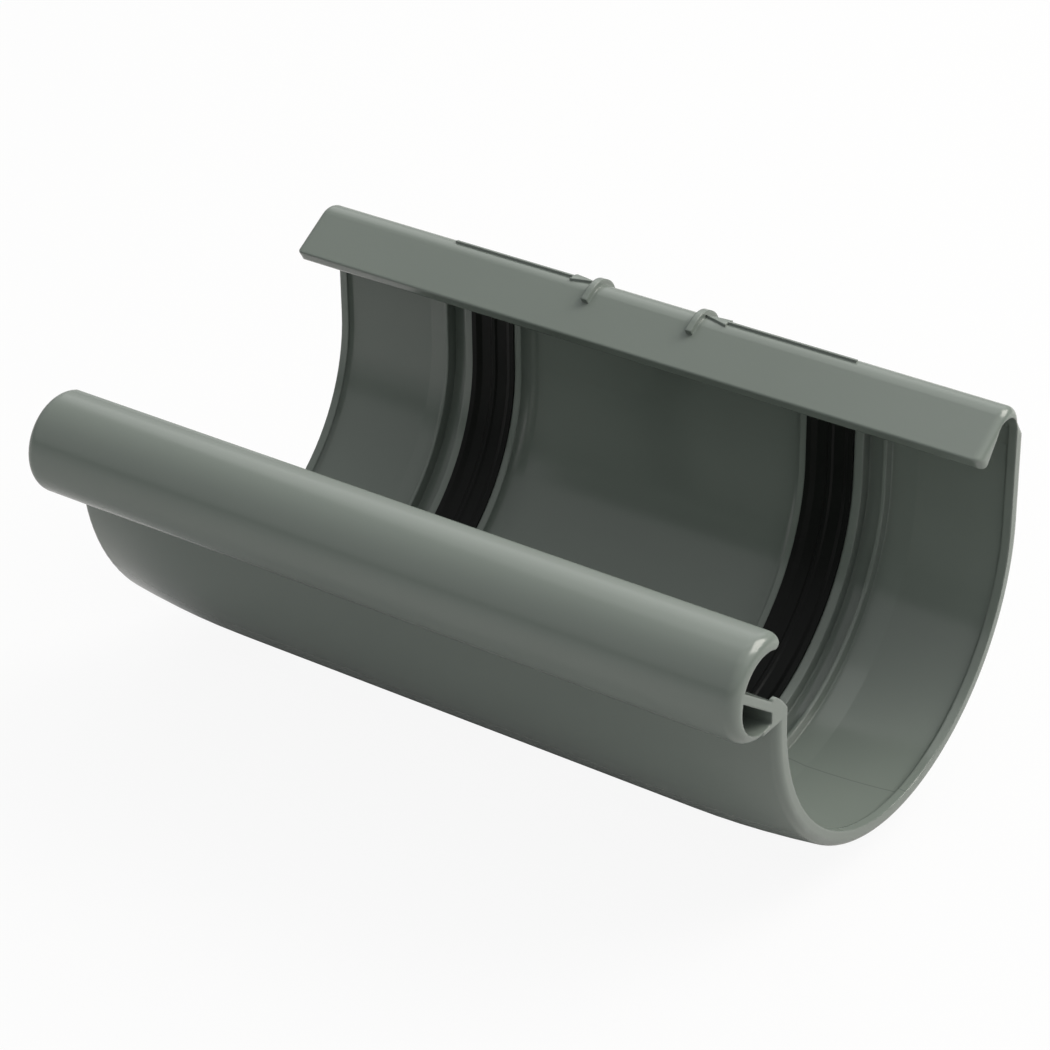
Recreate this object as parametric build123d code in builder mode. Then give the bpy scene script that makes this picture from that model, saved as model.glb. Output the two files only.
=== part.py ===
from build123d import *
from math import acos, asin, cos, degrees, radians, sin, sqrt
import os

os.makedirs("parts", exist_ok=True)

# A connector for half-round gutter: a moulded sleeve with a hook along its rear edge,
# a hollow bead along its front edge, and a rubber seal in a groove near each mouth.
# X runs along the gutter, Y from the bead to the hook, Z up.
# The origin lies on the centre line of the half round, at mid-length.

# The gutter it takes, and the room left around it
gutter_radius = 37.5
rim_clearance = 0.5
inner_rib_clearance = 0.2
outer_rib_clearance = 0.4
guide_rib_clearance = 0.3
seat_depth = 2.95

# Sleeve
run_length = 150.0
wall = 2.15
draw_in = 1.8
draw_length = 25.0
end_round = 1.6
rim_width = 1.7
rim_chamfer = 0.6
rear_height = 15.5
front_height = 1.2

# Seal seat and ribs, measured along the run from mid-length
seal_centre = 37.65
seal_width = 9.8
seal_gap = 0.05
inner_rib_width = 1.55
outer_rib_width = 1.9
guide_rib_width = 0.8
guide_groove_width = 4.1
rib_foot_fillet = 2.4
ramp_height = 0.5
ramp_length = 5.1

# Rubber seal
seal_thickness = 2.4
seal_lip_width = 1.0
seal_lip_height = 0.55
seal_ridge_width = 0.7
seal_ridge_height = 0.3

# Hook along the rear edge
crown_rear_wall = 1.0
crown_radius = 4.2
crown_thickness = 1.7
lip_slope = 30.8
lip_length = 9.8
lip_under_slope = 51.0
lip_edge_round = 0.3
lip_under_round = 1.4
hook_end_round = 1.7
shoulder_height = 2.1
shoulder_rise = 3.2
shoulder_corner_round = 1.6
shoulder_depth = 3.0
shoulder_draw_in = 0.05
pocket_depth = 7.7
pocket_round = 3.9
recess_height = 6.5

# Bead along the front edge
bead_offset = 7.0
bead_rise = 8.5
bead_radius = 9.6
bead_wall = 2.6
bead_end_round = 2.2
bead_tip_angle = 61.5
bead_tip_bulge = 0.15
bead_foot_fillet = 1.0
web_thickness = 1.65
web_slope = 35.7
web_start_angle = 156.0
chamber_drop = 0.8
chamber_round = 0.5
ledge_depth = 4.8
stop_height = 5.4
stop_flat = 1.3
stop_fall = 3.75
stop_bulge = 0.15
stop_round = 0.6
stop_width = 0.8

# Raised marks on the crown
mark_offset = 11.45
mark_width = 1.3
mark_height = 1.1
mark_foot = 2.3
mark_rear_angle = 10.0
arrow_height = 0.45
arrow_angle = 84.0
arrow_line_width = 0.6
arrow_end = 44.0
arrow_head_length = 5.0
arrow_head_width = 2.7

# Sizes that follow from the ones above
half_run = run_length / 2
inner_radius = gutter_radius + seat_depth
outer_radius = inner_radius + wall
rim_radius = gutter_radius + rim_clearance
draw_start = half_run - draw_length
draw_radius = (draw_length**2 + draw_in**2) / (2 * draw_in)
groove_half = seal_width / 2 + seal_gap
groove_start = seal_centre - groove_half
groove_end = seal_centre + groove_half
guide_start = groove_end + outer_rib_width + guide_groove_width
guide_end = guide_start + guide_rib_width
ramp_end = guide_end + ramp_length
rim_start = half_run - rim_width
pocket_top = rear_height + pocket_depth
crown_y = rim_radius + crown_rear_wall - crown_radius
crown_z = pocket_top + crown_thickness - crown_radius
bead_y = -rim_radius - bead_offset
bead_z = front_height + bead_rise


def drawn_radius(x, inset=0.0):
    """Radius of the sleeve's outside at x, or of the face that lies inset below it."""
    past = max(abs(x) - draw_start, 0.0)
    return outer_radius - draw_radius + sqrt((draw_radius - inset) ** 2 - past**2)


def corner(shape, x, y):
    """The corner of a flat shape that lies nearest to a point."""
    return shape.vertices().sort_by_distance((x, y))[0]


def long_edge(part, point):
    """The edge along the run that passes nearest to a point given in Y and Z."""
    return part.edges().filter_by(Axis.X).sort_by_distance((0, point.X, point.Y))[0]


# Section of the sleeve's wall along the run: x along, y as the radius
with BuildSketch() as wall_section:
    with BuildLine():
        outside = Line((0, outer_radius), (draw_start, outer_radius))
        TangentArc(outside @ 1, (half_run, drawn_radius(half_run)), tangent=outside % 1)
        Polyline(
            (half_run, drawn_radius(half_run)),
            (half_run, rim_radius),
            (rim_start, rim_radius),
            (rim_start, drawn_radius(rim_start, wall)),
        )
        middle_x = (ramp_end + rim_start) / 2
        ThreePointArc(
            (rim_start, drawn_radius(rim_start, wall)),
            (middle_x, drawn_radius(middle_x, wall)),
            (ramp_end, drawn_radius(ramp_end, wall)),
        )
        Polyline(
            (ramp_end, drawn_radius(ramp_end, wall)),
            (guide_end, inner_radius - ramp_height),
            (guide_end, gutter_radius + guide_rib_clearance),
            (guide_start, gutter_radius + guide_rib_clearance),
            (guide_start, inner_radius),
            (groove_end + outer_rib_width, inner_radius),
            (groove_end + outer_rib_width, gutter_radius + outer_rib_clearance),
            (groove_end, gutter_radius + outer_rib_clearance),
            (groove_end, inner_radius),
            (groove_start, inner_radius),
            (groove_start, gutter_radius + inner_rib_clearance),
            (groove_start - inner_rib_width, gutter_radius + inner_rib_clearance),
            (groove_start - inner_rib_width, inner_radius),
            (0, inner_radius),
            (0, outer_radius),
        )
    make_face()
    fillet(corner(wall_section, half_run, drawn_radius(half_run)), radius=end_round)
    chamfer(corner(wall_section, rim_start, drawn_radius(rim_start, wall)), length=rim_chamfer)
    fillet(corner(wall_section, groove_start - inner_rib_width, inner_radius), radius=rib_foot_fillet)
    mirror(about=Plane.YZ)

with BuildSketch() as front_wall_section:
    mirror(wall_section.sketch, about=Plane.XZ)


def drawn_strip(height, far_y, outer_y_ends, outer_y_middle, round_radius):
    """A flat strip at a height, straight on its inner side, drawn in to the ends on its outer side."""
    with BuildSketch(Plane.XY.offset(height)) as strip:
        with BuildLine():
            Polyline(
                (-half_run, outer_y_ends),
                (-half_run, far_y),
                (half_run, far_y),
                (half_run, outer_y_ends),
            )
            middle = Line((-draw_start, outer_y_middle), (draw_start, outer_y_middle))
            TangentArc(middle @ 1, (half_run, outer_y_ends), tangent=middle % 1)
            TangentArc(middle @ 0, (-half_run, outer_y_ends), tangent=-(middle % 0))
        make_face()
        fillet(
            [
                corner(strip, half_run, outer_y_ends),
                corner(strip, -half_run, outer_y_ends),
            ],
            radius=round_radius,
        )
    return strip.sketch


shoulder_foot = drawn_strip(
    rear_height, rim_radius - shoulder_depth, drawn_radius(half_run), outer_radius, end_round
)
shoulder_head = drawn_strip(
    rear_height + shoulder_height + shoulder_rise,
    rim_radius - shoulder_depth,
    crown_y + crown_radius - shoulder_draw_in,
    crown_y + crown_radius,
    shoulder_corner_round,
)

# Points of the hook's section, in Y and Z
crown_centre = Vector(crown_y, crown_z)
lip_line = Vector(-cos(radians(lip_slope)), -sin(radians(lip_slope)))
lip_normal = Vector(-sin(radians(lip_slope)), cos(radians(lip_slope)))
lip_start = crown_centre + lip_normal * crown_radius
lip_tip = lip_start + lip_line * lip_length
pocket_centre = Vector(rim_radius - pocket_round, pocket_top - pocket_round)
under_normal = Vector(-sin(radians(lip_under_slope)), cos(radians(lip_under_slope)))
under_start = pocket_centre + under_normal * pocket_round
under_length = (lip_length - (under_start - lip_start).dot(lip_line)) / cos(
    radians(lip_under_slope - lip_slope)
)
under_end = under_start - Vector(
    cos(radians(lip_under_slope)), sin(radians(lip_under_slope))
) * under_length

# The space under the hook: up the wall, round the crown, down the lip's underside and out past its edge
with BuildSketch(Plane.YZ) as pocket_section:
    with BuildLine():
        Line((rim_radius, rear_height), (rim_radius, pocket_centre.Y))
        CenterArc(pocket_centre, pocket_round, 0, 90 + lip_under_slope)
        Polyline(
            under_start,
            under_end,
            lip_tip + lip_normal,
            lip_tip + lip_normal + lip_line * lip_length,
            (0, 0),
            (gutter_radius, rear_height),
            (rim_radius, rear_height),
        )
    make_face()
    fillet(corner(pocket_section, under_end.X, under_end.Y), radius=lip_under_round)

# The recess behind each rim, carried on up the hook's rear wall until it runs out
with BuildSketch(Plane.YZ) as recess_section:
    with BuildLine():
        Polyline(
            (rim_radius, rear_height),
            (drawn_radius(rim_start, wall), rear_height),
            (rim_radius, rear_height + recess_height),
            close=True,
        )
    make_face()

# The hook before that space is cut, with its two ends rounded
with BuildPart() as hook:
    with BuildSketch(Plane.YZ):
        with BuildLine():
            Line((crown_y + crown_radius, rear_height), (crown_y + crown_radius, crown_z))
            CenterArc(crown_centre, crown_radius, 0, 90 + lip_slope)
            Polyline(
                lip_start,
                lip_tip,
                under_end,
                (crown_y + crown_radius, rear_height),
            )
        make_face()
    extrude(amount=half_run, both=True)
    fillet(long_edge(hook, lip_tip), radius=lip_edge_round)
    for end_face in hook.faces().filter_by(Axis.X):
        fillet(end_face.edges().sort_by(Axis.Z)[1:], radius=hook_end_round)

# The bead before its spaces are cut, with its two ends rounded
with BuildPart() as bead:
    with BuildSketch(Plane.YZ):
        with Locations((bead_y, bead_z)):
            Circle(bead_radius)
    extrude(amount=half_run, both=True)
    fillet(bead.faces().filter_by(Axis.X).edges(), radius=bead_end_round)

# Points of the bead's section, in Y and Z
bead_centre = Vector(bead_y, bead_z)
bore_radius = bead_radius - bead_wall
tip_radius = bead_wall / 2 + bead_tip_bulge
tip_reach = bead_radius - bead_wall / 2
tip_angle = bead_tip_angle + degrees(asin(tip_radius / tip_reach))
tip_line = Vector(cos(radians(tip_angle)), sin(radians(tip_angle)))
tip_side = Vector(sin(radians(tip_angle)), -cos(radians(tip_angle)))
tip_centre = bead_centre + tip_line * tip_reach
bore_start_angle = tip_angle - degrees(
    acos((tip_reach**2 + bore_radius**2 - tip_radius**2) / (2 * tip_reach * bore_radius))
)
web_line = Vector(cos(radians(web_slope)), -sin(radians(web_slope)))
web_normal = Vector(sin(radians(web_slope)), cos(radians(web_slope)))
web_start = bead_centre + Vector(
    cos(radians(web_start_angle)), sin(radians(web_start_angle))
) * bore_radius
web_end = web_start + web_line * ((-rim_radius - web_start.X) / web_line.X)
stop_corner = Vector(-rim_radius - ledge_depth, front_height + stop_height)
fall_start = stop_corner + Vector(stop_flat, 0)
fall_end = Vector(-rim_radius, stop_corner.Y - stop_fall)
fall_middle = (fall_start + fall_end) / 2 + Vector(stop_bulge, stop_bulge)

# The open side of the bead: round its bore, down the web and out into the sleeve
with BuildSketch(Plane.YZ) as mouth_section:
    with BuildLine():
        bore = CenterArc(bead_centre, bore_radius, bore_start_angle, web_start_angle - bore_start_angle)
        ThreePointArc(bore @ 0, tip_centre + tip_side * tip_radius, tip_centre + tip_line * tip_radius)
        Polyline(
            web_start,
            web_end,
            (0, web_end.Y),
            (0, bead_z + bead_radius + bead_wall),
            tip_centre + tip_line * bead_wall,
            tip_centre + tip_line * tip_radius,
        )
    make_face()

# The closed chamber below the web
with BuildSketch(Plane.YZ) as chamber_section:
    with Locations((bead_y, bead_z - chamber_drop)):
        Circle(bore_radius)
    with BuildLine():
        under_web = web_start - web_normal * web_thickness
        Polyline(
            under_web - web_line * bead_radius,
            under_web + web_line * 2 * bead_radius,
            under_web + web_line * 2 * bead_radius - web_normal * 3 * bead_radius,
            under_web - web_line * bead_radius - web_normal * 3 * bead_radius,
            close=True,
        )
    make_face(mode=Mode.INTERSECT)
    with Locations((-rim_radius - ledge_depth, bead_z)):
        Rectangle(2 * bead_radius, 4 * bead_radius, align=(Align.MIN, Align.CENTER), mode=Mode.SUBTRACT)
    fillet(chamber_section.vertices().group_by(Axis.X)[-1], radius=chamber_round)

# The stop that each rim raises at its front end, above the web
with BuildSketch(Plane.YZ) as stop_section:
    with BuildLine():
        ThreePointArc(fall_start, fall_middle, fall_end)
        Polyline(
            fall_end,
            (-rim_radius, front_height),
            (stop_corner.X, front_height),
            stop_corner,
            fall_start,
        )
    make_face()
    fillet(corner(stop_section, stop_corner.X, stop_corner.Y), radius=stop_round)

def is_bead_foot(edge):
    """Whether an edge runs along the foot of the bead, on the outside of the sleeve."""
    middle = edge.center()
    below_bead = 0 < middle.Z < front_height
    outside = -outer_radius - wall / 2 < middle.Y < -drawn_radius(middle.X) + wall / 2
    return below_bead and outside and edge.length > draw_length / 2


with BuildPart() as body:
    # Sleeve: the half round, then the upright walls behind and in front
    revolve(front_wall_section.sketch, axis=Axis.X, revolution_arc=180)
    extrude(wall_section.sketch, amount=rear_height)
    extrude(front_wall_section.sketch, amount=front_height)
    # Shoulder that draws the rear wall in to the hook
    extrude(shoulder_foot, amount=shoulder_height)
    loft(sections=[shoulder_foot.moved(Location((0, 0, shoulder_height))), shoulder_head])
    # Hook
    add(hook.part)
    extrude(pocket_section.sketch, amount=run_length, both=True, mode=Mode.SUBTRACT)
    for side in (-1, 1):
        extrude(
            recess_section.sketch.moved(Location((side * (ramp_end + rim_start) / 2, 0, 0))),
            amount=(rim_start - ramp_end) / 2,
            both=True,
            mode=Mode.SUBTRACT,
        )
    # Bead, with a fillet where its underside meets the sleeve
    add(bead.part)
    fillet(body.edges().filter_by(is_bead_foot), radius=bead_foot_fillet)
    with BuildSketch(Plane.YZ):
        with Locations((-rim_radius, front_height)):
            Rectangle(ledge_depth + bead_wall, stop_height, align=(Align.MAX, Align.MIN))
    extrude(amount=half_run, both=True)
    extrude(mouth_section.sketch, amount=run_length, both=True, mode=Mode.SUBTRACT)
    for side in (-1, 1):
        extrude(
            stop_section.sketch.moved(Location((side * (half_run - stop_width / 2), 0, 0))),
            amount=stop_width / 2,
            both=True,
        )
    extrude(chamber_section.sketch, amount=run_length, both=True, mode=Mode.SUBTRACT)

# A raised band over the crown on each side of mid-length, from the lip to the rear
band_radius = crown_radius + mark_height
band_foot = lip_start + lip_line * mark_foot
with BuildSketch(Plane.YZ) as band_section:
    with BuildLine():
        CenterArc(crown_centre, band_radius, -mark_rear_angle, 90 + lip_slope + mark_rear_angle)
        rear_line = Vector(cos(radians(mark_rear_angle)), -sin(radians(mark_rear_angle)))
        Polyline(
            lip_start + lip_normal * mark_height,
            band_foot + lip_normal * mark_height,
            band_foot - lip_normal * mark_height / 2,
            lip_start - lip_normal * mark_height / 2,
            crown_centre + rear_line * (crown_radius - mark_height / 2),
            crown_centre + rear_line * band_radius,
        )
    make_face()

# A raised arrow along the top of the crown on each side, pointing to its band
arrow_centre = crown_centre + Vector(cos(radians(arrow_angle)), sin(radians(arrow_angle))) * crown_radius
arrow_tip = mark_offset + mark_width / 2
with BuildPart() as arrow:
    with BuildSketch(Plane.XY.offset(crown_z)):
        with BuildLine():
            Polyline(
                (arrow_tip, arrow_centre.X),
                (arrow_tip + arrow_head_length, arrow_centre.X + arrow_head_width / 2),
                (arrow_tip + arrow_head_length, arrow_centre.X + arrow_line_width / 2),
                (arrow_end, arrow_centre.X + arrow_line_width / 2),
                (arrow_end, arrow_centre.X - arrow_line_width / 2),
                (arrow_tip + arrow_head_length, arrow_centre.X - arrow_line_width / 2),
                (arrow_tip + arrow_head_length, arrow_centre.X - arrow_head_width / 2),
                close=True,
            )
        make_face()
    extrude(amount=2 * crown_radius)
    with BuildSketch(Plane.YZ):
        with Locations((crown_y, crown_z)):
            Circle(crown_radius + arrow_height)
            Circle(crown_radius - arrow_height, mode=Mode.SUBTRACT)
    extrude(amount=half_run, mode=Mode.INTERSECT)

with body:
    add(arrow.part)
    add(arrow.part.mirror(Plane.YZ))
    for side in (-1, 1):
        extrude(
            band_section.sketch.moved(Location((side * mark_offset, 0, 0))),
            amount=mark_width / 2,
            both=True,
        )

body.part.label = "body"
export_step(body.part, "parts/body.step")


# Section of a seal: flat back in the groove, a sealing lip at each edge and a low ridge between
seal_back = inner_radius - seal_gap
seal_face = seal_back - seal_thickness
with BuildSketch() as seal_section:
    with BuildLine():
        Polyline(
            (-seal_width / 2, seal_back),
            (-seal_width / 2, seal_face - seal_lip_height),
            (seal_lip_width - seal_width / 2, seal_face - seal_lip_height),
            (2 * seal_lip_width - seal_width / 2, seal_face),
            (-seal_ridge_width, seal_face),
            (-seal_ridge_width / 2, seal_face - seal_ridge_height),
            (seal_ridge_width / 2, seal_face - seal_ridge_height),
            (seal_ridge_width, seal_face),
            (seal_width / 2 - 2 * seal_lip_width, seal_face),
            (seal_width / 2 - seal_lip_width, seal_face - seal_lip_height),
            (seal_width / 2, seal_face - seal_lip_height),
            (seal_width / 2, seal_back),
            close=True,
        )
    make_face()

with BuildSketch() as front_seal_section:
    mirror(seal_section.sketch, about=Plane.XZ)

with BuildPart() as seal:
    revolve(front_seal_section.sketch, axis=Axis.X, revolution_arc=180)
    extrude(seal_section.sketch, amount=rear_height - seal_gap)
    extrude(front_seal_section.sketch, amount=front_height - seal_gap)

with BuildPart() as seal_left:
    add(seal.part.moved(Location((-seal_centre, 0, 0))))
seal_left.part.label = "seal_left"
export_step(seal_left.part, "parts/seal_left.step")

with BuildPart() as seal_right:
    add(seal.part.moved(Location((seal_centre, 0, 0))))
seal_right.part.label = "seal_right"
export_step(seal_right.part, "parts/seal_right.step")
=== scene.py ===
"""Dresses a grey half-round gutter connector and lights it as a studio product shot.

The solids come from the fixed frame and keep their place. This script gives the moulding and
its two rubber seals their finishes, sets the camera of the product shot, and lights the part
softly from above and behind on a white ground that keeps a faint shadow.
"""

from __future__ import annotations

import logging
import math
from dataclasses import dataclass
from enum import Enum
from typing import Any

import bpy
from mathutils import Matrix, Vector


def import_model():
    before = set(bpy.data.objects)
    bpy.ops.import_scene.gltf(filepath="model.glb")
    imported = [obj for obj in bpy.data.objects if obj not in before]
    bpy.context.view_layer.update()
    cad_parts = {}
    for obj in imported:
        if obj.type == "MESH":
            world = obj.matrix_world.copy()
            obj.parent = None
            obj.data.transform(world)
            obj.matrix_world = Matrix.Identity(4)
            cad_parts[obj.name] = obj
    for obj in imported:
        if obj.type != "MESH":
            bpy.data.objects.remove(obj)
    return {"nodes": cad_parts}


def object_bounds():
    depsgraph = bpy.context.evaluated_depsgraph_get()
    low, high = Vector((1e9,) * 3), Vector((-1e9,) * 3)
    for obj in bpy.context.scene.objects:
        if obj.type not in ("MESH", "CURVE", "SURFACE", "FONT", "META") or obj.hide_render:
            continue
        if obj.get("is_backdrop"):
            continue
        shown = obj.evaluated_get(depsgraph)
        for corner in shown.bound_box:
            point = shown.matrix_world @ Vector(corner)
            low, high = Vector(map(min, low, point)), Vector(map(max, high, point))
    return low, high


LOG = logging.getLogger("gutter_connector")
MM = 0.001

NOISE_MEAN = 0.5

Rgb = tuple[float, float, float]
Rgba = tuple[float, float, float, float]
OPAQUE = (1.0,)
BLACK = (0.0, 0.0, 0.0, 1.0)
WHITE = (1.0, 1.0, 1.0, 1.0)


class Part(Enum):
    """The nodes of the frame."""

    BODY = "body"
    SEAL_LEFT = "seal_left"
    SEAL_RIGHT = "seal_right"


class Socket:
    """A shader socket that takes part in Python arithmetic."""

    def __init__(self, shader: Shader, socket: bpy.types.NodeSocket) -> None:
        """Keeps an output socket with the shader whose tree holds it."""
        self.shader = shader
        self.socket = socket

    def _math(self, operation: str, first: Socket | float, second: Socket | float) -> Socket:
        """Adds a Math node for two sockets or numbers and gives its value."""
        return self.shader.node("ShaderNodeMath", {"operation": operation}, {0: first, 1: second}).out()

    def __add__(self, other: Socket | float) -> Socket:
        """Adds a socket or a number."""
        return self._math("ADD", self, other)

    def __radd__(self, other: float) -> Socket:
        """Adds this socket to a number."""
        return self._math("ADD", other, self)

    def __sub__(self, other: Socket | float) -> Socket:
        """Takes away a socket or a number."""
        return self._math("SUBTRACT", self, other)

    def __rsub__(self, other: float) -> Socket:
        """Takes this socket away from a number."""
        return self._math("SUBTRACT", other, self)

    def __mul__(self, other: Socket | float) -> Socket:
        """Multiplies by a socket or a number."""
        return self._math("MULTIPLY", self, other)

    def __rmul__(self, other: float) -> Socket:
        """Multiplies a number by this socket."""
        return self._math("MULTIPLY", other, self)

    def __gt__(self, other: Socket | float) -> Socket:
        """Gives 1 where this socket is the greater, else 0."""
        return self._math("GREATER_THAN", self, other)

    def __lt__(self, other: Socket | float) -> Socket:
        """Gives 1 where this socket is the less, else 0."""
        return self._math("LESS_THAN", self, other)

    def __abs__(self) -> Socket:
        """Drops the sign."""
        return self.shader.node("ShaderNodeMath", {"operation": "ABSOLUTE"}, {0: self}).out()


class BuiltNode:
    """A shader node whose outputs come back as sockets."""

    def __init__(self, shader: Shader, node: bpy.types.Node) -> None:
        """Keeps a node with the shader whose tree holds it."""
        self.shader = shader
        self.node = node

    def out(self, name: int | str = 0) -> Socket:
        """Gives one output as a socket, by its name or number."""
        return Socket(self.shader, self.node.outputs[name])


class Shader:
    """Builds one node tree."""

    # The Mix node's colours come after its plain values and its vectors
    FIRST_COLOUR = 6
    SECOND_COLOUR = 7
    MIXED_COLOUR = 2

    def __init__(self, tree: bpy.types.NodeTree) -> None:
        """Clears the tree of a material or a world and takes it over."""
        self.tree = tree
        tree.nodes.clear()

    def node(self, kind: str, settings: dict[str, Any], inputs: dict[int | str, Any]) -> BuiltNode:
        """Adds a node, sets it and feeds it.

        Args:
            kind: The node's type.
            settings: Its own properties.
            inputs: Values or sockets, by input name or number.

        Returns:
            The new node.
        """
        node = self.tree.nodes.new(kind)
        for name, value in settings.items():
            setattr(node, name, value)
        for name, value in inputs.items():
            if isinstance(value, Socket):
                self.tree.links.new(value.socket, node.inputs[name])
            else:
                node.inputs[name].default_value = value
        return BuiltNode(self, node)

    def blend(self, factor: Socket, first: Socket | Rgba, second: Socket | Rgba) -> Socket:
        """Mixes two colours, the second by the factor's share."""
        inputs = {"Factor": factor, self.FIRST_COLOUR: first, self.SECOND_COLOUR: second}
        return self.node("ShaderNodeMix", {"data_type": "RGBA"}, inputs).out(self.MIXED_COLOUR)

    def fade(self, distance: Socket, reach: float, top: float = 1.0, kind: str = "LINEAR") -> Socket:
        """Falls from a top value at no distance to 0 at the reach, in the Map Range node's named kind."""
        limits = {"Value": distance, "From Min": 0.0, "From Max": reach, "To Min": top, "To Max": 0.0}
        return self.node("ShaderNodeMapRange", {"interpolation_type": kind}, limits).out()

    def place(self) -> Socket:
        """Gives the point on the object, in metres."""
        return self.node("ShaderNodeTexCoord", {}, {}).out("Object")

    def axis(self, vector: Socket, name: str) -> Socket:
        """Gives the X, Y or Z of a vector."""
        return self.node("ShaderNodeSeparateXYZ", {}, {"Vector": vector}).out(name)


@dataclass(frozen=True)
class Grain:
    """One scale of unevenness in a finish."""

    size_mm: float
    layers: float
    height_mm: float = 0.0

    def noise(self, shader: Shader, place: Socket) -> Socket:
        """Gives this grain's noise at a point on the object, NOISE_MEAN on average."""
        inputs = {"Vector": place, "Scale": 1 / (self.size_mm * MM), "Detail": self.layers}
        return shader.node("ShaderNodeTexNoise", {}, inputs).out()

    def relief(self, shader: Shader, place: Socket) -> Socket:
        """Gives this grain's height over the surface, in metres."""
        return self.noise(shader, place) * (self.height_mm * MM)


@dataclass(frozen=True)
class MouldLineWithPaintedShade:
    """The fine line that the mould leaves along the floor by the right mouth: a shallow groove in the
    relief, darkened in the colour as painted shade.
    """

    from_centre_mm: float = 4.0
    start_mm: float = 47.0
    half_width_mm: float = 0.16
    depth_mm: float = 0.02
    # Share of black mixed into the colour on the mould line: painted shade standing in for the shade in
    # its groove.
    painted_shade: float = 0.3
    least_upward: float = 0.5

    def mask(self, shader: Shader, place: Socket) -> Socket:
        """Marks the line.

        Args:
            shader: The shader to add it to.
            place: The point on the object, in metres.

        Returns:
            1 on the line and 0 away from it.
        """
        normal = shader.node("ShaderNodeNewGeometry", {}, {}).out("Normal")
        side = abs(shader.axis(place, "Y") - self.from_centre_mm * MM)
        near = shader.fade(side, self.half_width_mm * MM)
        beyond = shader.axis(place, "X") > self.start_mm * MM
        upward = shader.axis(normal, "Z") > self.least_upward
        return near * beyond * upward


@dataclass(frozen=True)
class MouldedPvc:
    """Grey injection-moulded PVC: smooth and half glossy, with a fine grain and one mould line whose
    darkening in the colour is painted shade.
    """

    colour: Rgb = (0.160, 0.187, 0.166)
    cloud_shift: float = 0.03
    roughness: float = 0.16
    roughness_shift: float = 0.04
    refraction: float = 1.5
    edge_round_mm: float = 0.5
    edge_samples: int = 6
    cloud: Grain = Grain(size_mm=22.0, layers=3.0)
    grain: Grain = Grain(size_mm=0.35, layers=2.0, height_mm=0.004)
    waviness: Grain = Grain(size_mm=14.0, layers=1.0, height_mm=0.02)
    line: MouldLineWithPaintedShade = MouldLineWithPaintedShade()

    def build(self) -> bpy.types.Material:
        """Builds the material.

        Returns:
            The material.
        """
        material = bpy.data.materials.new("grey_pvc")
        material.use_nodes = True
        shader = Shader(material.node_tree)
        place = shader.place()
        cloud = self.cloud.noise(shader, place)
        # 1 on the mould line: a real shallow groove in the bump, and painted shade in the colour.
        line = self.line.mask(shader, place)
        inputs = {
            "Base Color": self._tone(shader, cloud, line),
            "Roughness": (cloud - NOISE_MEAN) * self.roughness_shift + self.roughness,
            "IOR": self.refraction,
            "Normal": self._relief(shader, place, line),
        }
        surface = shader.node("ShaderNodeBsdfPrincipled", {}, inputs)
        shader.node("ShaderNodeOutputMaterial", {}, {"Surface": surface.out()})
        return material

    def _tone(self, shader: Shader, cloud: Socket, line: Socket) -> Socket:
        """Mixes the colour.

        Args:
            shader: The shader to add it to.
            cloud: The noise of the clouds.
            line: 1 on the mould line, where the colour is darkened as painted shade.

        Returns:
            The colour.
        """
        light = tuple(channel * (1 + self.cloud_shift) for channel in self.colour) + OPAQUE
        dark = tuple(channel * (1 - self.cloud_shift) for channel in self.colour) + OPAQUE
        # The mould line's darkening toward black is painted shade for its shallow groove.
        return shader.blend(line * self.line.painted_shade, shader.blend(cloud, dark, light), BLACK)

    def _relief(self, shader: Shader, place: Socket, line: Socket) -> Socket:
        """Shapes the surface: grain, waviness and the mould line on softened edges.

        Args:
            shader: The shader to add it to.
            place: The point on the object, in metres.
            line: 1 on the mould line.

        Returns:
            The surface's direction.
        """
        height = self.grain.relief(shader, place) + self.waviness.relief(shader, place)
        height = height - line * (self.line.depth_mm * MM)
        settings = {"samples": self.edge_samples}
        edge = shader.node("ShaderNodeBevel", settings, {"Radius": self.edge_round_mm * MM}).out()
        inputs = {"Strength": 1.0, "Distance": 1.0, "Height": height, "Normal": edge}
        return shader.node("ShaderNodeBump", {}, inputs).out()


@dataclass(frozen=True)
class SealRubber:
    """Black rubber of the sealing strips: dark, a little dusty, with a dull sheen."""

    colour: Rgb = (0.0027, 0.0034, 0.0029)
    bloom_colour: Rgb = (0.0055, 0.0064, 0.0057)
    roughness: float = 0.42
    specular: float = 0.15
    bloom: Grain = Grain(size_mm=4.0, layers=4.0)
    grain: Grain = Grain(size_mm=0.3, layers=2.0, height_mm=0.006)

    def build(self) -> bpy.types.Material:
        """Builds the material.

        Returns:
            The material.
        """
        material = bpy.data.materials.new("seal_rubber")
        material.use_nodes = True
        shader = Shader(material.node_tree)
        place = shader.place()
        bloom = self.bloom.noise(shader, place)
        relief = {"Strength": 1.0, "Distance": 1.0, "Height": self.grain.relief(shader, place)}
        inputs = {
            "Base Color": shader.blend(bloom, self.colour + OPAQUE, self.bloom_colour + OPAQUE),
            "Roughness": self.roughness,
            "Specular IOR Level": self.specular,
            "Normal": shader.node("ShaderNodeBump", {}, relief).out(),
        }
        surface = shader.node("ShaderNodeBsdfPrincipled", {}, inputs)
        shader.node("ShaderNodeOutputMaterial", {}, {"Surface": surface.out()})
        return material


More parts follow.
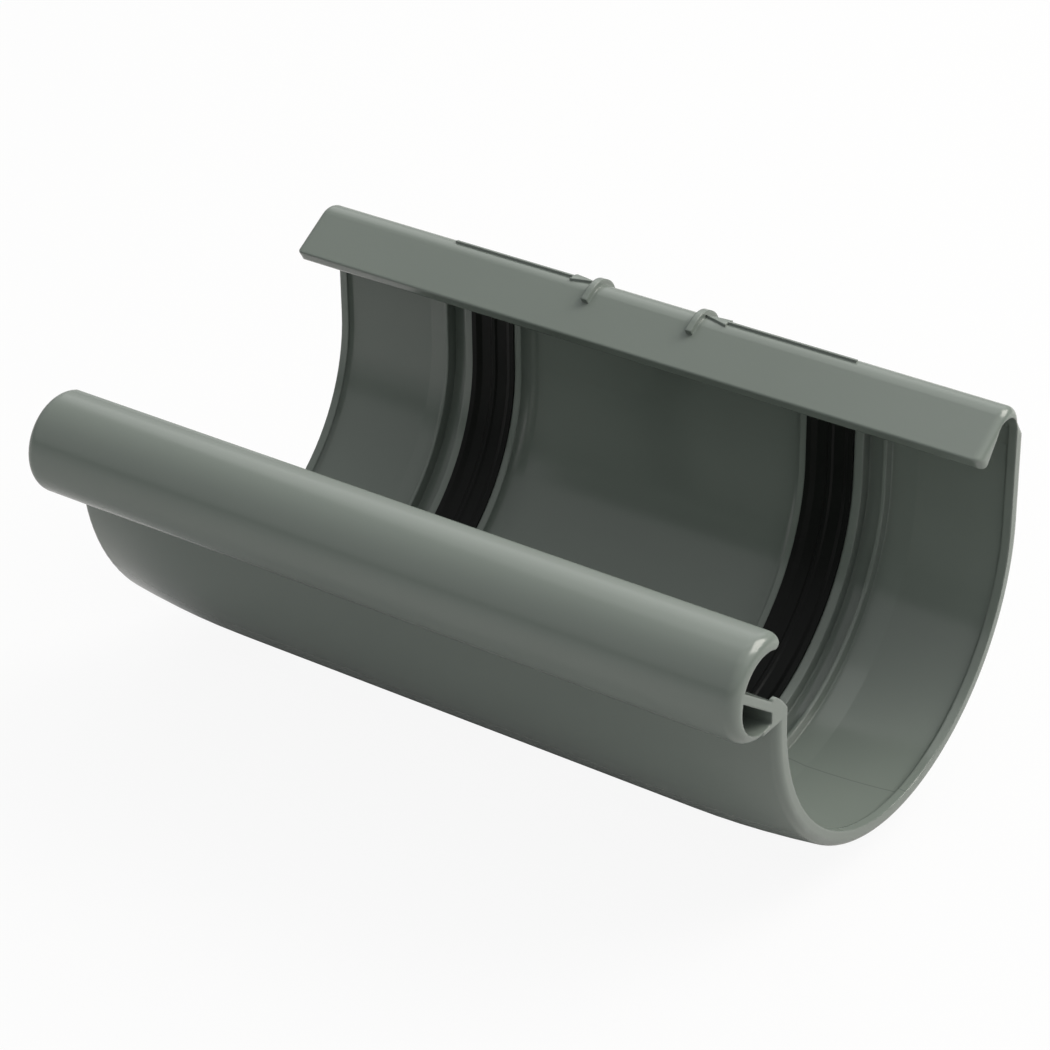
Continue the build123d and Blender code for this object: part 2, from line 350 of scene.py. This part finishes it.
@dataclass(frozen=True)
class ProductCamera:
    """The camera of the product shot, fitted to the part's own edges."""

    azimuth_deg: float = 35.4933
    elevation_deg: float = 30.3344
    roll_deg: float = 0.783336
    right_mm: float = 3.09865
    down_mm: float = -5.09157
    distance_mm: float = 643.694
    focal_px: float = 3563.96
    picture_px: float = 1050.0
    sensor_mm: float = 36.0

    def axes(self) -> tuple[Vector, Vector, Vector]:
        """Works out the camera's directions.

        Returns:
            Right, down and forward, as unit vectors.
        """
        azimuth = math.radians(self.azimuth_deg)
        elevation = math.radians(self.elevation_deg)
        roll = math.radians(self.roll_deg)
        level = math.cos(elevation)
        forward = Vector((-math.sin(azimuth) * level, math.cos(azimuth) * level, -math.sin(elevation)))
        flat_right = forward.cross(Vector((0, 0, 1))).normalized()
        flat_down = forward.cross(flat_right)
        right = math.cos(roll) * flat_right + math.sin(roll) * flat_down
        down = math.cos(roll) * flat_down - math.sin(roll) * flat_right
        return right, down, forward

    def place(self) -> bpy.types.Object:
        """Adds the camera and makes it the scene's own.

        Returns:
            The camera object.
        """
        right, down, forward = self.axes()
        eye = -(right * self.right_mm + down * self.down_mm + forward * self.distance_mm) * MM
        data = bpy.data.cameras.new("product_camera")
        data.sensor_width = self.sensor_mm
        data.lens = self.focal_px / self.picture_px * self.sensor_mm
        camera = bpy.data.objects.new("product_camera", data)
        turn = Matrix((right, -down, -forward)).transposed().to_4x4()
        camera.matrix_world = Matrix.Translation(eye) @ turn
        bpy.context.scene.collection.objects.link(camera)
        bpy.context.scene.camera = camera
        return camera


@dataclass(frozen=True)
class Softbox:
    """One square soft lamp, aimed at the part's origin. Lengths are in metres, power in watts."""

    name: str
    place: tuple[float, float, float]
    side: float
    power: float
    tint: Rgb = (1.0, 1.0, 1.0)

    def hang(self) -> bpy.types.Object:
        """Adds the lamp.

        Returns:
            The lamp object.
        """
        data = bpy.data.lights.new(self.name, "AREA")
        data.shape = "SQUARE"
        data.size = self.side
        data.energy = self.power
        data.color = self.tint
        lamp = bpy.data.objects.new(self.name, data)
        lamp.rotation_mode = "QUATERNION"
        lamp.rotation_quaternion = (-Vector(self.place)).to_track_quat("-Z", "Y")
        lamp.location = self.place
        lamp.visible_camera = False
        bpy.context.scene.collection.objects.link(lamp)
        return lamp


@dataclass(frozen=True)
class Surroundings:
    """The room around the part: white to the camera and softly grey as light, darker low down.

    Heights are those of the direction looked in, from 0 at the horizon to 1 straight up.
    """

    strength: float = 0.52
    band_height: float = 0.14
    band_half_width: float = 0.17
    band_depth: float = 0.75

    def build(self) -> bpy.types.World:
        """Builds the world and makes it the scene's own.

        Returns:
            The world.
        """
        world = bpy.data.worlds.new("studio_world")
        bpy.context.scene.world = world
        world.use_nodes = True
        shader = Shader(world.node_tree)
        seen = shader.node("ShaderNodeLightPath", {}, {}).out("Is Camera Ray")
        direction = shader.node("ShaderNodeTexCoord", {}, {}).out("Generated")
        away = abs(shader.axis(direction, "Z") - self.band_height)
        band = shader.fade(away, self.band_half_width, self.band_depth, "SMOOTHSTEP")
        soft = self.strength * (1 - band)
        strength = seen * (1 - soft) + soft
        glow = shader.node("ShaderNodeBackground", {}, {"Color": WHITE, "Strength": strength})
        shader.node("ShaderNodeOutputWorld", {}, {"Surface": glow.out()})
        return world


@dataclass(frozen=True)
class Ground:
    """The pale ground: white to the camera but for a faint shadow. Lengths are in metres."""

    drop: float = 0.004
    reach: float = 3.0
    grey: float = 0.62
    glow: float = 0.92

    def lay(self, lowest: float) -> bpy.types.Object:
        """Lays the ground under the part.

        Args:
            lowest: The height of the part's lowest point.

        Returns:
            The ground object.
        """
        height = lowest - self.drop
        signs = ((-1, -1), (1, -1), (1, 1), (-1, 1))
        corners = [(x * self.reach, y * self.reach, height) for x, y in signs]
        mesh = bpy.data.meshes.new("ground")
        mesh.from_pydata(corners, [], [tuple(range(len(corners)))])
        mesh.materials.append(self._paper())
        ground = bpy.data.objects.new("ground", mesh)
        bpy.context.scene.collection.objects.link(ground)
        ground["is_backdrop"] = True
        return ground

    def _paper(self) -> bpy.types.Material:
        """Builds the ground's material.

        Returns:
            The material.
        """
        material = bpy.data.materials.new("white_ground")
        material.use_nodes = True
        shader = Shader(material.node_tree)
        seen = shader.node("ShaderNodeLightPath", {}, {}).out("Is Camera Ray") * self.glow
        card = shader.node("ShaderNodeBsdfDiffuse", {}, {"Color": (self.grey,) * 3 + OPAQUE})
        white = shader.node("ShaderNodeEmission", {}, {"Color": WHITE, "Strength": 1.0})
        mixed = shader.node("ShaderNodeMixShader", {}, {0: seen, 1: card.out(), 2: white.out()})
        shader.node("ShaderNodeOutputMaterial", {}, {"Surface": mixed.out()})
        return material


@dataclass(frozen=True)
class Studio:
    """Ground, surroundings and soft lamps."""

    surroundings: Surroundings = Surroundings()
    ground: Ground = Ground()
    lamps: tuple[Softbox, ...] = (
        Softbox("key_softbox", (0.68, 0.68, 0.95), side=0.9, power=17.8, tint=(1.0, 0.96, 0.90)),
        Softbox("side_softbox", (0.92, 0.25, 0.95), side=1.0, power=2.0),
        Softbox("back_softbox", (-0.37, 0.79, 1.03), side=1.2, power=3.2),
        Softbox("low_back_softbox", (-0.70, 1.00, 0.57), side=1.3, power=1.4),
        Softbox("top_softbox", (0.0, 0.0, 1.35), side=1.2, power=2.2),
    )

    def build(self, lowest: float) -> list[bpy.types.Object]:
        """Sets up the studio.

        Args:
            lowest: The height of the part's lowest point, in metres.

        Returns:
            The ground and the lamps.
        """
        bpy.context.scene.view_settings.view_transform = "Standard"
        self.surroundings.build()
        return [self.ground.lay(lowest)] + [lamp.hang() for lamp in self.lamps]


@dataclass
class Connector:
    """The connector's own nodes and their finishes."""

    nodes: dict[str, bpy.types.Object]
    pvc: MouldedPvc = MouldedPvc()
    rubber: SealRubber = SealRubber()

    def dress(self) -> dict[Part, bpy.types.Material]:
        """Gives every node its finish.

        Returns:
            The material of each node.
        """
        grey = self.pvc.build()
        black = self.rubber.build()
        finishes = {Part.BODY: grey, Part.SEAL_LEFT: black, Part.SEAL_RIGHT: black}
        for part, material in finishes.items():
            for slot in self.nodes[part.value].material_slots:
                slot.material = material
        return finishes


def box_lists() -> list[list[float]]:
    """Reads the lowest and the highest corner of the whole object's box."""
    return [list(corner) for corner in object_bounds()]


def main() -> None:
    """Loads the frame, dresses the connector and sets up the studio."""
    logging.basicConfig(level=logging.INFO)
    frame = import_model()
    cad_box = box_lists()
    for part, material in Connector(frame["nodes"]).dress().items():
        LOG.info("%s dressed in %s", part.value, material.name)
    lowest = cad_box[0][2]
    for item in Studio().build(lowest):
        LOG.info("%s set up", item.name)
    camera = ProductCamera().place()
    LOG.info("%s placed", camera.name)


if __name__ == "__main__":
    main()
